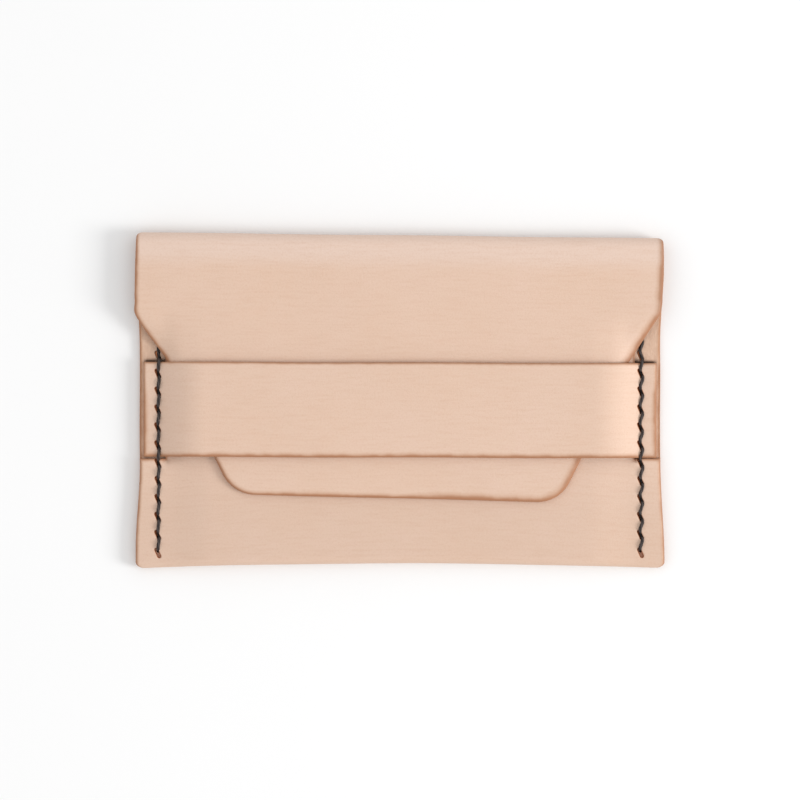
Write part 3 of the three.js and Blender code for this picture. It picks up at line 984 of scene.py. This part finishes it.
# the near-black that painted shade darkens towards
PAINTED_SHADE = (0.035, 0.018, 0.012, 1)
FLOOR_LOW = (0.88, 0.88, 0.88, 1)
FLOOR_HIGH = (0.89, 0.89, 0.89, 1)
THREAD_COLOUR = (0.020, 0.014, 0.012, 1)
# painted highlight on the crests of the plies
THREAD_HIGHLIGHT = (0.062, 0.050, 0.048, 1)
# painted shade where the thread goes down into a slit
THREAD_SHADED = (0.006, 0.004, 0.003, 1)


def leather_material(name):
    n = Nodes(name)
    flat = n.attribute("flat_mm", "Vector")
    edge = n.attribute("from_edge")
    cloudy = n.noise(flat, 0.055, 3.0)
    blotchy = n.noise(flat, 0.45, 4.0, 0.6)
    fine = n.noise(flat, 2.6, 3.0, 0.6)
    pores = n.cells(flat, 3.4)
    colour = n.blend(n.between(cloudy, 0.25, 0.75, 0.25, 0.75), GRAIN_WARM, GRAIN_PALE)
    colour = n.blend(n.between(blotchy, 0.3, 0.7, 0.2, 0.8), colour, GRAIN)
    # painted sheen: lighter grain over the top fold
    colour = n.blend(n.attribute("fold_sheen"), colour, GRAIN_SHEEN)
    streaks = n.noise(n.stretched(flat, (0.16, 1.9, 1)), 1.0, 5.0, 0.65)
    colour = n.blend(n.between(streaks, 0.42, 0.72, 0.0, 0.13), colour, BURNISH_SOFT)
    colour = n.blend(n.between(fine, 0.42, 0.75, 0.0, 0.17), colour, BURNISH_SOFT)
    long_fibres = n.noise(n.stretched(flat, (2.4, 0.4, 1)), 1.0, 5.0, 0.7)
    short_fibres = n.noise(flat, 0.9, 5.0, 0.7)
    fibres = n.math("ADD", n.math("MULTIPLY", long_fibres, 0.55), n.math("MULTIPLY", short_fibres, 0.45))
    fleshy = n.blend(n.between(fibres, 0.38, 0.64), FLESH_DARK, FLESH)
    flesh = n.attribute("flesh")
    colour = n.blend(flesh, colour, fleshy)
    ragged = n.math("ADD", edge, n.between(n.noise(flat, 0.3, 2.0), 0.3, 0.7, -0.07, 0.07))
    burnish = n.attribute("burnish")
    outer_band = n.math("MULTIPLY", n.between(ragged, 0.3, 0.9, 0.55, 0.0), burnish)
    colour = n.blend(outer_band, colour, BURNISH_SOFT)
    inner_band = n.math("MULTIPLY", n.between(ragged, 0.12, 0.52, 0.95, 0.0), burnish)
    colour = n.blend(inner_band, colour, BURNISH)
    colour = n.blend(n.attribute("slit"), colour, SLIT_RAW)
    # painted shade: the shade mask darkens the leather towards near-black
    colour = n.blend(n.attribute("shade"), colour, PAINTED_SHADE)
    n.link(colour, n.shader.inputs["Base Color"])
    rough = n.math("ADD", n.between(blotchy, 0.2, 0.8, 0.5, 0.62), n.math("MULTIPLY", flesh, 0.25))
    n.link(rough, n.shader.inputs["Roughness"])
    n.shader.inputs["Specular IOR Level"].default_value = 0.35
    normal = n.bump(n.between(pores, 0.0, 0.6), 0.00002, 0.5)
    normal = n.bump(streaks, 0.00003, 0.5, normal)
    normal = n.bump(fine, 0.00002, 0.4, normal)
    normal = n.bump(n.math("MULTIPLY", fibres, flesh), 0.00015, 0.8, normal)
    n.link(normal, n.shader.inputs["Normal"])
    return n.material


def thread_material():
    n = Nodes("waxed_thread")
    strand = n.attribute("strand")
    # painted highlight: lighter on the crests of the plies
    colour = n.blend(n.between(strand, 0.2, 1.0), THREAD_COLOUR, THREAD_HIGHLIGHT)
    # painted shade where the thread is sunk into a slit
    colour = n.blend(n.attribute("sunk"), colour, THREAD_SHADED)
    n.link(colour, n.shader.inputs["Base Color"])
    n.shader.inputs["Specular IOR Level"].default_value = 0.25
    place = n.add("ShaderNodeTexCoord").outputs["Object"]
    n.link(n.between(n.noise(place, 2500), 0.3, 0.7, 0.5, 0.68), n.shader.inputs["Roughness"])
    n.link(n.bump(n.noise(place, 6000), 0.00003, 0.6), n.shader.inputs["Normal"])
    return n.material


def floor_material():
    n = Nodes("floor_white")
    place = n.add("ShaderNodeTexCoord").outputs["Object"]
    n.link(n.blend(n.noise(place, 30), FLOOR_LOW, FLOOR_HIGH), n.shader.inputs["Base Color"])
    n.shader.inputs["Roughness"].default_value = 0.9
    n.shader.inputs["Specular IOR Level"].default_value = 0.1
    return n.material


# Studio

PHOTO_WIDTH = 154.2 * MM
CAMERA_HEIGHT = 1.3
SENSOR = 36
WORLD_STRENGTH = 0.885
KEY_PLACE = (1.0, -0.2, 0.52)
KEY_SIZE = 0.4
KEY_POWER = 7.5
FLOOR_HALF = 4
FLOOR_GAP = 0.05                              # mm, so that the back face and the floor aren't in one plane


def floor():
    corners = np.array([(-1, -1, 0), (1, -1, 0), (1, 1, 0), (-1, 1, 0)], float) * FLOOR_HALF
    piece = mesh_object("floor", corners / MM - (0, 0, FLOOR_GAP), [(0, 1, 2, 3)], floor_material())


def aimed(item, place):
    item.location = place
    item.rotation_euler = (-Vector(place)).to_track_quat("-Z", "Y").to_euler()
    bpy.context.scene.collection.objects.link(item)


def area_light(name, place, size, power):
    light = bpy.data.lights.new(name, "AREA")
    light.size = size
    light.energy = power
    aimed(bpy.data.objects.new(name, light), place)


def studio():
    world = bpy.data.worlds.new("studio")
    world.use_nodes = True
    world.node_tree.nodes["Background"].inputs["Strength"].default_value = WORLD_STRENGTH
    world.node_tree.nodes["Background"].inputs["Color"].default_value = (1, 1, 1, 1)
    bpy.context.scene.world = world
    area_light("key", KEY_PLACE, KEY_SIZE, KEY_POWER)
    bpy.context.scene.view_settings.view_transform = "Standard"


def camera():
    data = bpy.data.cameras.new("camera")
    data.sensor_width = SENSOR
    data.lens = SENSOR * CAMERA_HEIGHT / PHOTO_WIDTH
    data.clip_start = 0.01
    data.clip_end = 20
    item = bpy.data.objects.new("camera", data)
    item.location = (0, 0, CAMERA_HEIGHT)
    bpy.context.scene.collection.objects.link(item)
    bpy.context.scene.camera = item


# Assembly

def bend_range(from_back):
    """Start and end of a span over one hinge, square to its turned line, and far enough inside both skins
    to keep the crown out of it."""
    diagonal = math.sqrt(0.5)
    low = LEATHER * diagonal + BEND_CLEAR
    high = (2 * FOLD_RADIUS - LEATHER) * diagonal - BEND_CLEAR
    places = [(FOLD_AXIS + p * diagonal, p * diagonal) for p in (low, high)]
    if not from_back:
        places = [(y, 2 * FOLD_RADIUS - z) for y, z in reversed(places)]
    return [tuple(float(c) * MM for c in turned(0, y, z)) for y, z in places]


grain_leather = leather_material("body_leather")
strap_leather = leather_material("strap_leather")
waxed = thread_material()

pocket = body_pocket(grain_leather)
start, end = bend_range(True)
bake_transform(pocket)
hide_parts("back_panel", "bottom_fold", "front_panel")

flap = body_flap(grain_leather)
start, end = bend_range(False)
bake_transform(flap)
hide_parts("top_fold", "flap_panel", "flap_tongue")

band = strap(strap_leather)
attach(band, "pocket")
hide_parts("strap")

for name, side in (("thread_left", -1), ("thread_right", 1)):
    piece = thread(f"{name}_twisted", side, waxed)
    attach(piece, "pocket")
    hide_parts(name)

floor()
studio()
camera()
